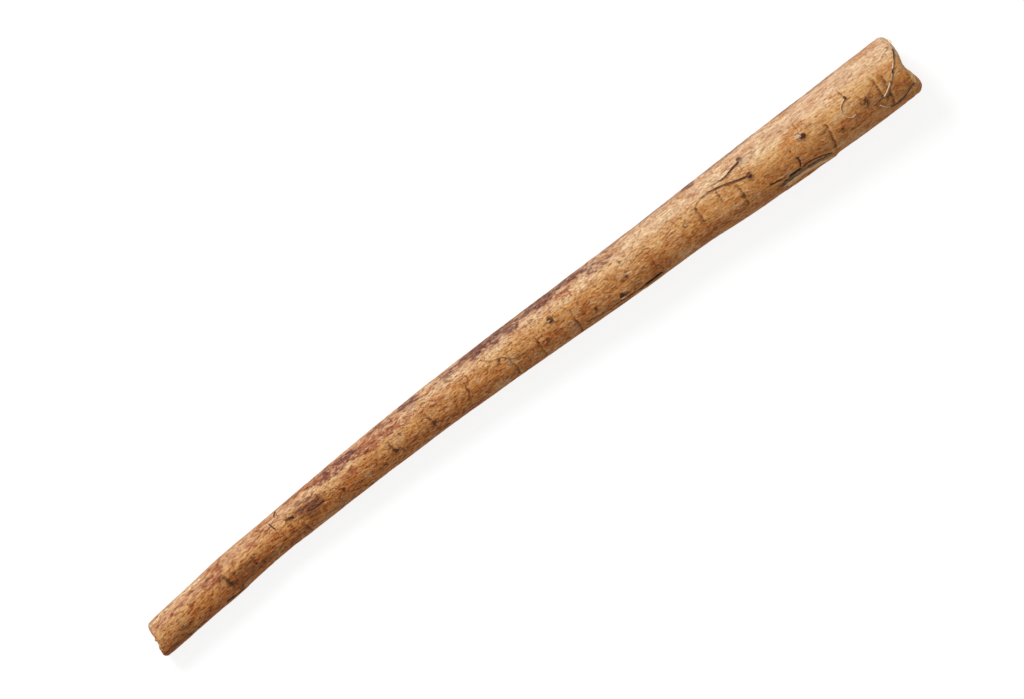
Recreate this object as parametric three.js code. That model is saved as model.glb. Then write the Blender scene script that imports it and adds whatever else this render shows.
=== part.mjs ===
// A burdock root: one cut length of the long, thin taproot, lying on a surface, with the few
// dried rootlets that still cling to its upper side.
//
// Millimetres, +Z up. +X runs along the root from its thin end to its thick crown end, and
// +Y is the side that the root bows towards. The origin is at the bottom centre.
import * as THREE from "three";

// ---- Driving dimensions ---------------------------------------------------------------

// The two cuts. Each face is described by how far out it reaches at each y.
const THIN_CUT = { x: -170.2, slant: 0.11, rim: 1.6 };
const CROWN_CUT = { x: 170.7, notchY: -1.8, notchDepth: 1.4, notchWidth: 3.4, rim: 3.0 };

// The root between its cuts: [x, y of its middle line, diameter].
const STATIONS = [
  [-171, -0.7, 13.8],
  [-152, 0.85, 14.2],
  [-134, 2.15, 14.7],
  [-116, 3.15, 14.1],
  [-98, 3.6, 14.8],
  [-62, 4.3, 16.0],
  [-26, 4.1, 17.3],
  [10, 3.15, 18.5],
  [40, 2.1, 19.8],
  [60, 1.7, 20.3],
  [78, 1.5, 21.1],
  [92, 0.9, 22.4],
  [110, 0.5, 23.6],
  [130, 0.1, 24.0],
  [148, -0.25, 24.9],
  [171, -0.4, 25.0],
];

// How far the underside is pressed flat where the root rests.
const SETTLED = 0.35;

// Knots, where a lateral root broke off: [x, y, height, spread].
const KNOTS = [
  [123.7, 0.9, 0.9, 2.2],
  [101.8, 7.4, 0.8, 2.0],
  [101.0, 1.4, 0.8, 2.0],
  [95.4, -3.6, 0.6, 2.0],
  [13.2, 4.1, 0.6, 2.2],
  [39.5, -4.8, 0.7, 2.2],
];

// The dried rootlets. Each lies on the upper side along its route of [x, y], seen from
// above, and tapers from its first diameter to its last.
const ROOTLETS = [
  {
    name: "rootlet_crown_long",
    diameters: [0.55, 0.4],
    colour: 0xb9a58a,
    route: [
      [170.0, 5.6],
      [169.5, 4.3],
      [168.2, 2.7],
      [166.4, 0.8],
      [164.9, -0.8],
      [162.9, -2.8],
      [160, -4.8],
      [157.2, -6.2],
      [154.5, -6.4],
      [151.8, -6.8],
    ],
  },
  {
    name: "rootlet_crown_low",
    diameters: [0.5, 0.4],
    colour: 0x6b4a33,
    route: [
      [168.8, -8.9],
      [167, -9.3],
      [165, -10.1],
      [163, -10.8],
      [161, -11.1],
      [159, -11.1],
      [157.2, -10.8],
      [155.7, -9.9],
      [154.7, -8.8],
      [154, -7.8],
    ],
  },
  {
    name: "rootlet_curled",
    diameters: [0.65, 0.45],
    colour: 0xd6bd97,
    route: [
      [145.3, 1.9],
      [144, 1.5],
      [142.8, 0.9],
      [141.9, -0.2],
      [141.4, -1.8],
      [141.6, -3.3],
      [142.4, -4.5],
      [143.5, -5.2],
      [144.8, -5.1],
      [145.8, -4.6],
    ],
  },
  {
    name: "rootlet_fork_upper",
    diameters: [0.85, 0.35],
    colour: 0x5a3a2c,
    route: [
      [101.4, 7.5],
      [99.5, 7.3],
      [97.5, 7.0],
      [95.8, 6.5],
      [94, 6.1],
      [92, 6.2],
      [90, 6.5],
      [87.8, 6.7],
    ],
  },
  {
    name: "rootlet_fork_lower",
    diameters: [0.8, 0.35],
    colour: 0x5a3a2c,
    route: [
      [101, 1.3],
      [99, 1.8],
      [97, 2.4],
      [95, 3.1],
      [93, 3.8],
      [91, 4.4],
      [89, 4.9],
      [87, 5.3],
      [85, 5.5],
      [82.5, 5.4],
      [80.3, 4.9],
      [78.3, 3.9],
    ],
  },
  {
    name: "rootlet_wavy",
    diameters: [0.35, 0.45],
    colour: 0x8a7560,
    route: [
      [-16.3, 8.2],
      [-15.2, 7],
      [-14, 6.1],
      [-12.4, 5.2],
      [-11.2, 4.8],
      [-9.7, 4.4],
      [-8.5, 3.5],
      [-7.4, 2],
      [-6.2, 1.1],
      [-4.5, 0.5],
      [-2.5, 0.3],
      [0, -0.1],
      [2.5, -0.4],
      [4.2, 0.1],
    ],
  },
  {
    name: "rootlet_thin_third",
    diameters: [0.9, 0.5],
    colour: 0x4c3226,
    route: [
      [-103.9, 4.7],
      [-105.2, 5.2],
      [-107.1, 5.4],
    ],
  },
  {
    name: "rootlet_thin_third_cross",
    diameters: [0.6, 0.45],
    colour: 0x5b4030,
    route: [
      [-112.4, 8],
      [-112.2, 6.5],
      [-111.7, 5.2],
    ],
  },
  {
    name: "rootlet_thin_third_edge",
    diameters: [0.5, 0.4],
    colour: 0x6e5140,
    route: [
      [-107.9, 10.1],
      [-109, 9.6],
      [-109.5, 8.7],
    ],
  },
  {
    name: "rootlet_by_ring_knot",
    diameters: [0.6, 0.45],
    colour: 0x5b4030,
    route: [
      [151.5, -3.3],
      [150.7, -4.6],
      [149.7, -6.5],
    ],
  },
  {
    name: "rootlet_crown_fine",
    diameters: [0.4, 0.3],
    colour: 0x6f6258,
    route: [
      [158.9, -6.9],
      [157.5, -8.1],
      [156.3, -9.0],
    ],
  },
];

// Clearance between a rootlet and the skin that it lies on.
const CLEARANCE = 0.15;

// ---- Fineness of the solids -----------------------------------------------------------

const ROOT_SIDES = 32;
const RING_STEP = 4.0;
const RIM_STEPS = 3;
const FACE_RINGS = [0.62, 0.3];
const ROOTLET_SIDES = 6;
const ROOTLET_STEP = 1.3;

// ---- The root's shape -----------------------------------------------------------------

const stationCurve = new THREE.CubicInterpolant(
  STATIONS.map((station) => station[0]),
  STATIONS.flatMap((station) => [station[1], station[2]]),
  2,
);

function middleLine(x) {
  return stationCurve.evaluate(x)[0];
}

// The section is a little oval and three-lobed, and turns slowly along the root.
function bareRadius(x, angle) {
  const radius = stationCurve.evaluate(x)[1] / 2;
  const oval = 0.012 * Math.cos(2 * angle + x / 70);
  const lobes = 0.008 * Math.cos(3 * angle - x / 45);
  return radius * (1 + oval + lobes);
}

function knotRise(x, angle) {
  let rise = 0;
  for (const [knotX, knotY, height, spread] of KNOTS) {
    const radius = bareRadius(knotX, Math.PI / 2);
    const knotAngle = Math.acos((knotY - middleLine(knotX)) / radius);
    const distance = Math.hypot(x - knotX, radius * (angle - knotAngle));
    rise += height * Math.exp(-((distance / spread) ** 2));
  }
  return rise;
}

function skinRadius(x, angle) {
  return bareRadius(x, angle) + knotRise(x, angle);
}

// The middle line's height puts the lowest skin a little under the floor, where it is
// pressed flat.
function middleHeight(x) {
  return bareRadius(x, -Math.PI / 2) - SETTLED;
}

// A point at this distance from the middle line, kept out of the floor.
function pointAround(x, angle, distance) {
  const y = middleLine(x) + distance * Math.cos(angle);
  const z = middleHeight(x) + distance * Math.sin(angle);
  return new THREE.Vector3(x, y, Math.max(z, 0));
}

function thinCutX(y) {
  return THIN_CUT.x + THIN_CUT.slant * y;
}

function crownCutX(y) {
  const across = (y - CROWN_CUT.notchY) / CROWN_CUT.notchWidth;
  return CROWN_CUT.x - CROWN_CUT.notchDepth * Math.exp(-(across ** 2));
}

// ---- Solids ---------------------------------------------------------------------------

// A closed skin through rings of points, with a point at the middle of each end. The rings
// turn anticlockwise when they are seen from the last one.
function closedSkin(rings, firstMiddle, lastMiddle) {
  const sides = rings[0].length;
  const points = [...rings.flat(), firstMiddle, lastMiddle];
  const firstIndex = points.length - 2;
  const lastIndex = points.length - 1;
  const lastRing = (rings.length - 1) * sides;
  const faces = [];
  for (let side = 0; side < sides; side += 1) {
    const next = (side + 1) % sides;
    faces.push(firstIndex, next, side);
    faces.push(lastIndex, lastRing + side, lastRing + next);
    for (let ring = 0; ring < rings.length - 1; ring += 1) {
      const here = ring * sides;
      const there = here + sides;
      faces.push(here + side, here + next, there + next);
      faces.push(here + side, there + next, there + side);
    }
  }
  const geometry = new THREE.BufferGeometry().setFromPoints(points);
  geometry.setIndex(faces);
  geometry.computeVertexNormals();
  return geometry;
}

function ringOf(sides, pointAt) {
  return Array.from({ length: sides }, (_, side) => pointAt((2 * Math.PI * side) / sides));
}

// The rings of one cut end, from the skin over the rounded rim to the face's middle.
// outward is +1 for a face that looks along +X and -1 for one that looks along -X.
function cutEnd(cutX, rim, outward) {
  const skinX = cutX(0) - outward * rim;
  const rings = [];
  for (let step = 0; step <= RIM_STEPS; step += 1) {
    const turn = (Math.PI / 2) * (step / RIM_STEPS);
    const inset = rim * (1 - Math.cos(turn));
    const back = rim * (1 - Math.sin(turn));
    rings.push(
      ringOf(ROOT_SIDES, (angle) => {
        const point = pointAround(skinX, angle, skinRadius(skinX, angle) - inset);
        point.x = cutX(point.y) - outward * back;
        return point;
      }),
    );
  }
  for (const share of FACE_RINGS) {
    rings.push(
      ringOf(ROOT_SIDES, (angle) => {
        const edge = skinRadius(skinX, angle) - rim;
        const point = pointAround(skinX, angle, edge * share);
        point.x = cutX(point.y);
        return point;
      }),
    );
  }
  const middle = pointAround(skinX, 0, 0);
  middle.x = cutX(middle.y);
  return { rings, middle };
}

function taprootGeometry() {
  const thin = cutEnd(thinCutX, THIN_CUT.rim, -1);
  const crown = cutEnd(crownCutX, CROWN_CUT.rim, 1);
  const start = THIN_CUT.x + THIN_CUT.rim + RING_STEP / 2;
  const end = CROWN_CUT.x - CROWN_CUT.rim - CROWN_CUT.notchDepth - RING_STEP / 2;
  const steps = Math.round((end - start) / RING_STEP);
  const body = [];
  for (let step = 0; step <= steps; step += 1) {
    const x = start + ((end - start) * step) / steps;
    body.push(ringOf(ROOT_SIDES, (angle) => pointAround(x, angle, skinRadius(x, angle))));
  }
  const rings = [...thin.rings.reverse(), ...body, ...crown.rings];
  return closedSkin(rings, thin.middle, crown.middle);
}

// How far a rounded rim has pulled the skin in by the time it reaches x.
function rimInset(x, y) {
  const past = x - (crownCutX(y) - CROWN_CUT.rim);
  if (past <= 0) return 0;
  return CROWN_CUT.rim - Math.sqrt(Math.max(CROWN_CUT.rim ** 2 - past ** 2, 0));
}

// The point above [x, y] that stands this far off the skin's upper side.
function pointOverSkin(x, y, lift) {
  let angle = Math.PI / 2;
  let distance = 0;
  for (let pass = 0; pass < 4; pass += 1) {
    distance = skinRadius(x, angle) - rimInset(x, y) + lift;
    angle = Math.acos((y - middleLine(x)) / distance);
  }
  return pointAround(x, angle, distance);
}

function rootletGeometry({ route, diameters }) {
  const [first, last] = diameters;
  const lift = CLEARANCE + Math.max(first, last) / 2;
  const plan = new THREE.SplineCurve(route.map(([x, y]) => new THREE.Vector2(x, y)));
  const steps = Math.max(3, Math.round(plan.getLength() / ROOTLET_STEP));
  const line = new THREE.CatmullRomCurve3(
    plan.getSpacedPoints(steps).map(({ x, y }) => pointOverSkin(x, y, lift)),
  );
  const frames = line.computeFrenetFrames(steps, false);
  const rings = [];
  for (let step = 0; step <= steps; step += 1) {
    const share = step / steps;
    const radius = THREE.MathUtils.lerp(first, last, share) / 2;
    const middle = line.getPointAt(share);
    rings.push(
      ringOf(ROOTLET_SIDES, (angle) =>
        middle
          .clone()
          .addScaledVector(frames.normals[step], radius * Math.cos(angle))
          .addScaledVector(frames.binormals[step], radius * Math.sin(angle)),
      ),
    );
  }
  return closedSkin(rings, line.getPointAt(0), line.getPointAt(1));
}

// ---- The burdock root -----------------------------------------------------------------

function piece(name, geometry, colour, roughness) {
  const material = new THREE.MeshStandardMaterial({ color: colour, roughness, metalness: 0 });
  const mesh = new THREE.Mesh(geometry, material);
  mesh.name = name;
  return mesh;
}

const burdockRoot = new THREE.Group();
burdockRoot.add(piece("taproot", taprootGeometry(), 0xc39a6b, 0.8));
for (const rootlet of ROOTLETS) {
  burdockRoot.add(piece(rootlet.name, rootletGeometry(rootlet), rootlet.colour, 0.85));
}

export default burdockRoot;
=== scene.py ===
"""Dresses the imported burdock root: a finely modelled skin with its scars, knots, cracks and cut
faces, the dried rootlets, the torn slivers, and a white studio floor seen from straight above.

Lengths in this script are millimetres, and MM turns them into Blender's metres. Places on the
upper side are [x, y] as seen from above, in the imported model's frame.
"""

import itertools
import math

import bpy
import numpy as np
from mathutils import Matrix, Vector
from mathutils.bvhtree import BVHTree


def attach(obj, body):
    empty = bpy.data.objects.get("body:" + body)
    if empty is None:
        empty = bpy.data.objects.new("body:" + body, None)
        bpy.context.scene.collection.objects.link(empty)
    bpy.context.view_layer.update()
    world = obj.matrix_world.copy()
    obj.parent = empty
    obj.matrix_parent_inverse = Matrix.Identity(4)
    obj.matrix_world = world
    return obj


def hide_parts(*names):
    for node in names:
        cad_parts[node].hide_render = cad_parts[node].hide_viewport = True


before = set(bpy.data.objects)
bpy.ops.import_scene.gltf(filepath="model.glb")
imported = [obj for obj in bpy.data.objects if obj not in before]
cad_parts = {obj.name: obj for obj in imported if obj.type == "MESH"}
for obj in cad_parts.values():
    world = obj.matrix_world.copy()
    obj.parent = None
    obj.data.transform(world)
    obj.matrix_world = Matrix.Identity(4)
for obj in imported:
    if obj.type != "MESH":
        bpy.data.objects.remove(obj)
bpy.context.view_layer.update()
scene = bpy.context.scene

MM = 0.001
SEED = 7

# ---- Camera: straight above, turned so that the crown end points up and to the right ----

VIEW_WIDTH = 369.2
VIEW_MIDDLE = (-4.6, 3.95, 12.5)
VIEW_ROLL = math.radians(-37.8)
LENS = 600
SENSOR = 36


def add_camera():
    data = bpy.data.cameras.new("camera")
    data.lens = LENS
    data.sensor_width = SENSOR
    data.clip_end = 20
    camera = bpy.data.objects.new("camera", data)
    x, y, z = VIEW_MIDDLE
    distance = VIEW_WIDTH * LENS / SENSOR
    camera.location = Vector((x, y, z + distance)) * MM
    camera.rotation_euler = (0, 0, VIEW_ROLL)
    scene.collection.objects.link(camera)
    scene.camera = camera


add_camera()

# ---- What the skin shows ----

# Scars that run across the root: the points of each, how deep it is, how wide, how dark.
SCARS = [
    ([(157.3, 2.2), (157.2, -1.5), (156.5, -6.3)], 0.35, 0.6, 1),
    ([(160.4, -0.4), (160.1, -5), (158.6, -10.6)], 0.4, 0.65, 1),
    ([(144.9, 5.6), (145.6, 2.6), (145.1, -1.4)], 0.25, 0.45, 0.7),
    ([(134.2, -1.5), (133.7, -5), (132.3, -10.2)], 0.4, 0.6, 1),
    ([(124.9, 7.4), (124.9, 4), (124.5, 1.5)], 0.2, 0.45, 0.7),
    ([(118.3, -0.4), (118.5, -2.4), (118.7, -4)], 0.25, 0.45, 0.8),
    ([(100.6, 6.2), (100.9, 4), (101.2, 1.6)], 0.15, 0.45, 0.6),
    ([(101.3, 1), (101.4, -1.2)], 0.15, 0.5, 0.6),
    ([(95.8, 0.8), (95.6, -2.6), (94.9, -7)], 0.3, 0.55, 0.9),
    ([(88.3, 5), (88.4, 2.4), (88.2, -0.6)], 0.2, 0.45, 0.7),
    ([(78.5, 3.6), (78.7, 1), (78.6, -1.8)], 0.3, 0.75, 1),
    ([(78.6, -1.8), (78.7, -6)], 0.2, 0.45, 0.45),
    ([(70.3, 2), (70.1, -1.5), (70.3, -5.5)], 0.12, 0.4, 0.4),
    ([(55.3, -0.6), (54.9, -3), (54.5, -6.4)], 0.22, 0.5, 0.6),
    ([(44.5, 2.2), (44.6, -1), (44.9, -4.4)], 0.2, 0.5, 0.5),
    ([(24.3, 9.4), (24.3, 6.8), (23.9, 4.8)], 0.15, 0.4, 0.55),
    ([(20.4, 9), (21, 8), (21.3, 6.6)], 0.15, 0.4, 0.5),
    ([(20.3, 2.2), (20.3, -2)], 0.22, 0.5, 0.6),
    ([(20.2, -2), (20.1, -6.2)], 0.35, 0.65, 1),
    ([(4.4, 7.5), (4.4, 2.5)], 0.2, 0.55, 0.45),
    ([(4.4, 2.5), (4.3, -5.2)], 0.3, 0.5, 0.8),
    ([(-7.6, 2.4), (-7.3, -1)], 0.2, 0.4, 0.6),
    ([(-7.3, -1), (-7.1, -4.6)], 0.3, 0.6, 0.95),
    ([(-25.7, 4.6), (-26.2, 1.6), (-28.2, -3.2)], 0.22, 0.4, 0.7),
    ([(-43.6, 3.6), (-43.2, 1.2), (-42.9, -1)], 0.32, 0.65, 1),
    ([(-60.5, 4.8), (-60.2, 1.4), (-60, -0.8)], 0.18, 0.6, 0.8),
    ([(-57.6, 0.4), (-57.5, -2.2)], 0.15, 0.55, 0.8),
    ([(-86, -0.2), (-85.9, -1.8), (-86.4, -3.2)], 0.2, 0.35, 0.8),
    ([(-82.4, 2.4), (-82.3, -0.4)], 0.12, 0.35, 0.4),
    ([(-112, 4.8), (-111.8, 2.8)], 0.12, 0.4, 0.6),
    ([(-102, -0.8), (-101.2, -3.6)], 0.25, 0.6, 0.8),
    ([(-136.4, 8), (-136.9, 4.6)], 0.12, 0.6, 0.4),
]

# Cracks and sharp folds that run along the root, in the same form.
CRACKS = [
    ([(23, -4.7), (27, -5.5), (32, -6.1), (39, -6.2)], 0.35, 0.28, 0.9),
    ([(40, -6.4), (44, -6.8), (48.5, -7.1)], 0.5, 0.36, 1),
    ([(48.5, -7.1), (51.5, -7.3), (54.8, -7.3)], 0.9, 0.95, 1),
    ([(105.3, -6.5), (107.6, -6.8), (109.7, -7.2)], 0.45, 0.32, 1),
    ([(109.7, -7.2), (113.5, -7.9), (117, -8), (118.2, -7.3)], 0.3, 0.22, 0.8),
    ([(118.2, -7.3), (119, -5.9), (118.9, -4.4)], 0.45, 0.34, 0.9),
    ([(108.2, -9.2), (109.6, -8.7), (111.5, -8.4), (117.5, -8.3)], 0.45, 0.26, 1),
    ([(118.5, -8.2), (121.5, -8.3), (124.5, -8.9), (127.5, -9.8), (130, -10.8)], 0.45, 0.28, 1),
    ([(109.4, -9.5), (112, -9.3), (115, -9.2)], 0.2, 0.22, 0.9),
    ([(120, -9.3), (124, -9.9), (127.5, -10.5)], 0.2, 0.26, 0.9),
    ([(41, -0.3), (44.2, -0.5)], 0.15, 0.26, 0.5),
    ([(9.4, 3.6), (11.6, 3.9)], 0.15, 0.25, 0.8),
    ([(49.5, 2.6), (52.6, 2.9), (55, 3.3), (57, 2.5)], 0.15, 0.24, 0.72),
    ([(-98.5, 3.2), (-96, 2.3), (-93, 2.6), (-88.5, 1.2)], 0.12, 0.25, 0.6),
    ([(164.4, 5.2), (166, 5.9), (168.4, 6.5)], 0.2, 0.25, 0.7),
    ([(-160, -6.2), (-156, -6), (-152, -5.4)], 0.3, 0.3, 0.8),
    ([(-141, -5.1), (-137, -5.2), (-133.8, -5)], 0.8, 0.8, 1),
    ([(-137.1, 2.4), (-136.5, 0.2), (-135.8, -1.8)], 0.35, 0.9, 0.6),
]

# Knots: x, y, how far one stands up, its radius, and how deep its middle is sunk.
KNOTS = [
    (151.3, -2.4, 0.3, 0.8, 0.1), (125.1, 0.6, 0.6, 1.3, 0.1), (101.8, 7.6, 1.45, 1.3, 0.1),
    (101.3, 1.2, 1.35, 1.2, 0.1), (145.5, 2, 0.55, 0.9, 0.1), (95.5, -3.7, 0.2, 0.8, 0.25),
    (88.1, 2.3, 0.25, 0.9, 0.25), (44.2, -0.6, 0.15, 0.8, 0.2), (45.2, 5, 0.25, 0.8, 0.1),
    (38.9, -4.7, 0.6, 1.4, 0.3), (28.3, -2.8, 0.3, 0.9, 0.25), (12.7, 4, 0.55, 1.5, 0.15),
    (7.9, -1.1, 0.3, 1, 0.35), (4.3, 0, 0.2, 0.9, 0.2), (-10.8, 3.8, 0.2, 0.7, 0.15),
    (-26, 2, 0.2, 0.8, 0.15), (-42.9, 0.5, 0.3, 1.1, 0.3), (-59.9, 0.8, 0.25, 1.1, 0.3),
    (-83.3, 1.1, 0.25, 1, 0.3), (-70.8, 5.1, 0.1, 0.6, 0.1), (-117, 1.4, 0.15, 0.7, 0.2),
    (-104, 4.7, 0.25, 0.9, 0.1), (-124.7, -0.5, 0.2, 0.8, 0.25), (-133.7, 2, 0.15, 0.8, 0.25),
    (-148.1, -3.6, 0.15, 0.8, 0.2), (138.2, -6.4, 0.2, 0.9, 0.25),
    (168.6, 6.9, 0.15, 0.6, 0.2),
]

# Soft patches of colour on the upper side: x, y, half its length, half its width, strength.
PATCHES = {
    "plum": [
        (-97, 4.4, 5.8, 3.6, 0.46), (-82, 9.9, 11.5, 3.2, 0.5), (-76, 9.8, 5.5, 2.2, 0.8),
        (-100, 10.6, 6, 2, 0.45), (-46.5, 11.6, 5, 3.4, 0.9), (-58, 11.4, 10, 2.6, 0.4),
        (-27, 11.5, 7, 3.4, 0.52), (-9.5, 11.8, 15, 4.4, 1), (12, 11.6, 9, 4.4, 0.95),
        (27, 11.8, 9, 3.6, 0.8), (38, 9.6, 6.5, 3.4, 0.55), (42, 12.2, 9, 3.4, 0.5),
        (81, 11.5, 3, 1.5, 1), (60, 12.6, 20, 3.4, 0.5), (98, 12.8, 18, 3.2, 0.5),
        (134, 12.6, 18, 3, 0.5), (160, 13.2, 10, 3, 0.35), (124.4, 0.4, 1.8, 1.6, 0.6),
    ],
    "rust": [
        (-60, 8.1, 12.5, 2.2, 0.95), (-83, 9.8, 11, 3, 0.9), (-70, 9, 8, 2.4, 0.7),
        (-60, 11, 12, 2.6, 0.35), (-152, 4.6, 12, 1.3, 0.52), (-141.5, 3.8, 4, 2.6, 0.7),
        (-136.5, 6.4, 2, 2.4, 0.7), (-122, 5.4, 2.6, 1.8, 0.55), (-116, 9, 8, 1.2, 0.35),
        (-78, 4.6, 4.5, 1.8, 0.5), (-37, 5.6, 4.5, 1.1, 0.6), (-49, 7.4, 3, 1.2, 0.5),
        (-20, 7, 3, 2.2, 0.25), (14, 10.4, 7, 1.2, 0.75), (5, 10, 2.5, 1, 0.55),
        (26, 9.4, 4, 1, 0.45), (21.5, 9.2, 3.4, 1, 0.75), (24.1, 7.4, 0.6, 2, 0.6),
        (81, 7.6, 1.8, 0.9, 0.7), (-165, 3, 4, 3, 0.35), (153, -3.2, 6, 3.6, 0.22),
        (168, -3, 3.2, 5.5, 0.22), (129.2, 3, 1.5, 0.8, 0.4), (127.6, 4.4, 2.6, 1, 0.4),
        (104.6, 5.4, 2.6, 1.6, 0.32),
    ],
    "umber": [
        (-131, -0.8, 6.5, 3, 0.8), (-97, 4.2, 7, 4.2, 1), (-120.5, -2, 7, 1.8, 0.6),
        (-160, -3.1, 5, 1.4, 0.7), (-163, -5.8, 7.5, 1.6, 0.65), (-96, 2.4, 7, 1.5, 0.5),
        (-103, -2, 3.5, 1.8, 0.5), (-86, -2.6, 10, 1.3, 0.35), (-43, -3, 5, 1.4, 0.5),
        (-43, 0.4, 2.4, 1.4, 0.6), (-60, 0.4, 2, 1.6, 0.6), (-27, -3.6, 4, 1.2, 0.4),
        (-7.2, -3, 2.5, 2, 0.4), (20.3, -4.4, 1.6, 1.8, 0.6), (44, -0.8, 2.6, 1, 0.6),
        (54.6, -4, 3, 2.2, 0.4), (39.2, -5, 2, 1.2, 0.8), (72.4, 1, 2, 1.8, 0.4),
        (77.8, -0.6, 1.2, 2.6, 0.4), (95.4, -3.4, 1.6, 2, 0.55), (111, -9.2, 5, 1.5, 0.35),
        (107.8, -2.6, 3, 1.6, 0.5), (131, -2.8, 5, 1.9, 0.42), (151, -4, 5, 2.6, 0.5),
        (157.2, -5.4, 1.1, 1.6, 0.8), (158.9, -7.4, 1.8, 1.4, 0.7),
        (137.9, -6.4, 1.4, 1.3, 0.9), (143, -8.6, 3, 1, 0.5),
    ],
    "cream": [
        (-155, 6.6, 13, 1.1, 0.95), (-143, 6.2, 1.8, 1.2, 0.8), (-167, 5, 3, 1.2, 0.5),
        (-128, 8.6, 10, 0.8, 0.5), (-93.4, 7.8, 2.6, 1.1, 0.85), (-80, 7.2, 6, 0.8, 0.6),
        (-84, 9.9, 0.8, 0.4, 0.9), (-72, 8.6, 0.9, 0.5, 0.7), (-61.8, 7.2, 0.8, 0.8, 0.9),
        (-58.6, 6.5, 1.6, 0.5, 0.8), (-52, 8.9, 3, 0.7, 0.8), (-43, 9.4, 9, 1.3, 0.6),
        (-29, 9.2, 4.5, 1.3, 0.8), (-20.6, 10.4, 0.9, 0.9, 0.9), (-13, 10.4, 2.2, 0.5, 0.7),
        (-9, 7.4, 6, 1.6, 0.55), (21.5, 10.6, 2.4, 0.7, 0.95), (28, 7.6, 4, 2.6, 0.9),
        (21, 6, 3, 1.6, 0.5), (35, 10, 2, 1.2, 0.5), (56, 8.4, 8, 2.2, 0.75),
        (70, 8.4, 9, 2.8, 0.6), (64, 1.6, 6, 1.2, 0.35), (92, 8.6, 10, 2.6, 0.65),
        (110, 6, 9, 4, 0.45), (139, 4.4, 3.5, 1.8, 0.6), (160, 8, 10, 3.5, 0.45),
        (146, 8.6, 9, 2.2, 0.4), (39, -5.9, 1.2, 0.4, 0.9),
    ],
}

# Small knots that show as a ring with a paler middle: x, y and the ring's radius.
RING_KNOTS = [
    (149.7, -3.3, 0.95), (153.3, -3.1, 0.75), (118.2, -5.2, 0.7), (72.1, 0.9, 0.8),
    (145.2, 1.9, 0.6), (7.2, 7.2, 1.1), (-10.8, 3.8, 0.55), (-30.6, 9.6, 0.6),
]

# How deep the ring is and how wide.
RING_DEPTH = 0.22
RING_WIDTH = 0.28

# The ledge under the torn sliver: its points, how far it stands out, and its half-width.
LEDGE = [(109, -11), (114, -11.2), (120, -11.5), (126, -12), (130.5, -12.6)]
LEDGE_HEIGHT = 0.5
LEDGE_WIDTH = 1.2

# Small chips and flecks of bare flesh: x, y, half its length, half its width.
CHIPS = [(123.2, 1.5, 0.7, 0.35), (12, 3.9, 0.5, 0.2), (38.6, -5.8, 0.7, 0.2)]
CHIP_RAGGED = 0.3

# Strips of another colour on the skin: their paint, points and half-width. The first six are
# where a sliver was torn off the lower flank, baring greyed fibres and tapering pale flesh.
STRIPS = [
    ("grey", [(109.6, -9.3), (114, -9.1), (119, -9.3), (124, -9.9), (129, -10.9)], 1.1),
    ("flesh", [(109.2, -9.9), (111.5, -10.1)], 0.55),
    ("flesh", [(110.9, -10.1), (114, -10.2), (119, -10.4)], 1.25),
    ("flesh", [(118, -10.4), (121, -10.7), (124.5, -11.1)], 0.95),
    ("flesh", [(123.5, -11), (127, -11.5)], 0.65),
    ("flesh", [(126.5, -11.4), (129.8, -12)], 0.35),
    ("umber", [(-137.8, 3), (-136.9, 1), (-135.6, -2), (-134.2, -3.6)], 1.3),
    ("umber", [(-136, -2.6), (-131, -3), (-126, -2.8)], 0.9),
    ("umber", [(-133.6, 1.6), (-129, 2), (-126, 1.2)], 0.5),
    ("umber", [(-124.9, 2.4), (-124.6, -0.8)], 0.6),
    ("flesh", [(169.2, -8.8), (169.5, -7.4), (169.8, -5.4)], 0.65),
    ("lip", [(109.6, -7.5), (113.5, -7.6), (117.2, -7.7)], 0.24),
    ("lip", [(124.9, -2.4), (125.2, -4.2), (125.4, -5.6)], 0.28),
    ("lip", [(126.8, -1.6), (126.3, -3), (125.8, -4.4)], 0.28),
    ("flesh", [(169.3, 9.6), (169.9, 8.6), (170, 7.6)], 0.45),
    ("lip", [(-82.6, 1.9), (-82.2, 1.2), (-82.6, 0.5)], 0.26),
    ("lip", [(118, -4.6), (118.5, -4.9), (118.1, -5.6)], 0.36),
]

# ---- Fineness and make-up of the skin ----

# The mesh: points round the root, closer together on top, rows of them, the rims' radii, and how
# many rows of the body take up the shape of its ends.
COLUMNS = 120
TOP_CROWDING = 0.33
BODY_ROWS = 756
RIM_ROWS = 9
FACE_ROWS = 14
THIN_RIM = 1.6
CROWN_RIM = 3.0
BLEND_ROWS = 14

# A cut face: how many rays it has, and where its ring is as a share of its radius.
FACE_RAYS = 26
GROWTH_RING = 0.62

# How far the relief stands out or cuts in.
SWELL = 0.1
LUMPS = 0.22
RIDGES = 0.13
WRINKLES = 0.10
FACE_GRAIN = 0.16

# How much of one slow noise leads each kind of mark astray from its line.
SCAR_STRAY = 1.8
STRIP_STRAY = 1.1
LEDGE_STRAY = 0.6
CRACK_STRAY = 0.5

# The share of its listed width that a scar gets.
SCAR_NARROWING = 0.9

# How many marks are made up on the side that the camera doesn't see.
HIDDEN_SCARS = 30
HIDDEN_KNOTS = 18

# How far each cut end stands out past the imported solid, by the y of the point: its ragged edge.
THIN_EDGE = [(-8, -0.4), (-6, -0.8), (-3.2, -0.8), (-2.4, -0.1), (-0.9, 0.1), (-0.1, -0.7)]
THIN_EDGE += [(0.7, 0.1), (3, -0.2), (5, -0.1), (8, 0)]
CROWN_EDGE = [(-12.5, 0.2), (-8.8, 0.5), (-6.5, 0), (2, 0), (7.6, 0.2), (9, -0.1), (12, 0)]

# ---- Noise ----

HASH_STEPS = (73856093, 19349663, 83492791)
HASH_MIXERS = (2654435761, 1274126177, 2246822519)


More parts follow.
